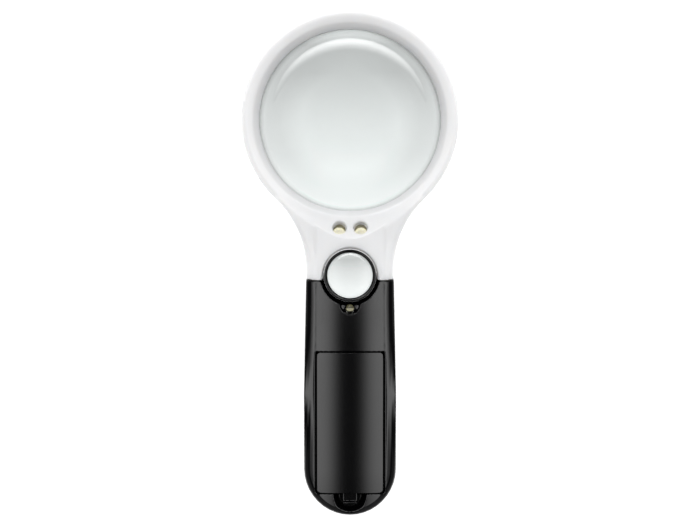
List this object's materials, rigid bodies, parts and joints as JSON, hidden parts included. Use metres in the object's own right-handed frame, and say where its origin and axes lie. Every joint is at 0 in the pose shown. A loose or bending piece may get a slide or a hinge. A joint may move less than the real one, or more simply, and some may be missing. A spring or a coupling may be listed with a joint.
{
  "type": "illuminated magnifying glass",
  "caption": "Hand magnifier with a large round lens in a white head, a small stronger lens, lamps, and a black battery handle with a thumb switch and a hinged battery door.",
  "frame": {"origin": "centre of the footprint on the surface that the magnifier lies on, lamp side up", "axes": "+Y along the handle towards the main lens, +Z out of the lamp and battery door side, +X to the right of both"},
  "size_m": [0.085, 0.1958, 0.0248],
  "materials": {
    "white_plastic": "glossy white",
    "black_plastic": "satin black",
    "black_gloss": "glossy black",
    "lens_glass": "clear, faintly green",
    "lamp_resin": "clear warm resin",
    "cell_sleeve": "printed sleeve without text",
    "nickel": "nickel plated",
    "steel": "bright steel",
    "board_green": "green solder mask",
    "resistor_tan": "tan lacquer",
    "red_wire": "red insulation",
    "black_wire": "black insulation"
  },
  "bodies": {
    "root": {"head_rear_cover": "white_plastic", "head_front_cover": "white_plastic", "main_lens": "lens_glass", "small_lens": "lens_glass", "small_lens_barrel": "black_gloss", "led_left": "lamp_resin", "led_right": "lamp_resin", "led_small": "lamp_resin", "handle_rear_shell": "black_plastic", "handle_front_shell": "black_plastic", "battery_left": "cell_sleeve", "battery_right": "cell_sleeve", "battery_middle": "cell_sleeve", "contact_positive": "nickel", "contact_bridge_upper": "nickel", "contact_bridge_lower": "nickel", "contact_negative": "nickel", "spring_left": "steel", "spring_right": "steel", "spring_middle": "steel", "switch_housing": "steel", "switch_board": "board_green", "resistor_main": "resistor_tan", "resistor_small": "resistor_tan", "board_screw_left": "steel", "board_screw_right": "steel", "shell_screw_left": "steel", "shell_screw_right": "steel", "battery_wire_red": "red_wire", "battery_wire_black": "black_wire", "led_wire_red": "red_wire", "led_wire_black": "black_wire", "led_small_wire_red": "red_wire", "led_small_wire_black": "black_wire"},
    "door": {"battery_door": "black_plastic"},
    "latch": {"door_latch": "black_plastic"},
    "switch": {"switch_knob": "black_gloss", "switch_slider": "black_gloss"}
  },
  "joints": [
    {"name": "switch_slide", "type": "slide", "parent": "root", "child": "switch", "axis": [0, 1, 0], "range_m": [0, 0.004]},
    {"name": "door_hinge", "type": "hinge", "parent": "root", "child": "door", "pos_m": [0, -0.03465, 0.025], "axis": [-1, 0, 0], "range_deg": [0, 80]},
    {"name": "latch_flex", "type": "hinge", "parent": "door", "child": "latch", "pos_m": [0, -0.0868, 0.022], "axis": [1, 0, 0], "range_deg": [0, 8], "stiffness_Nm_per_rad": 0.01}
  ]
}
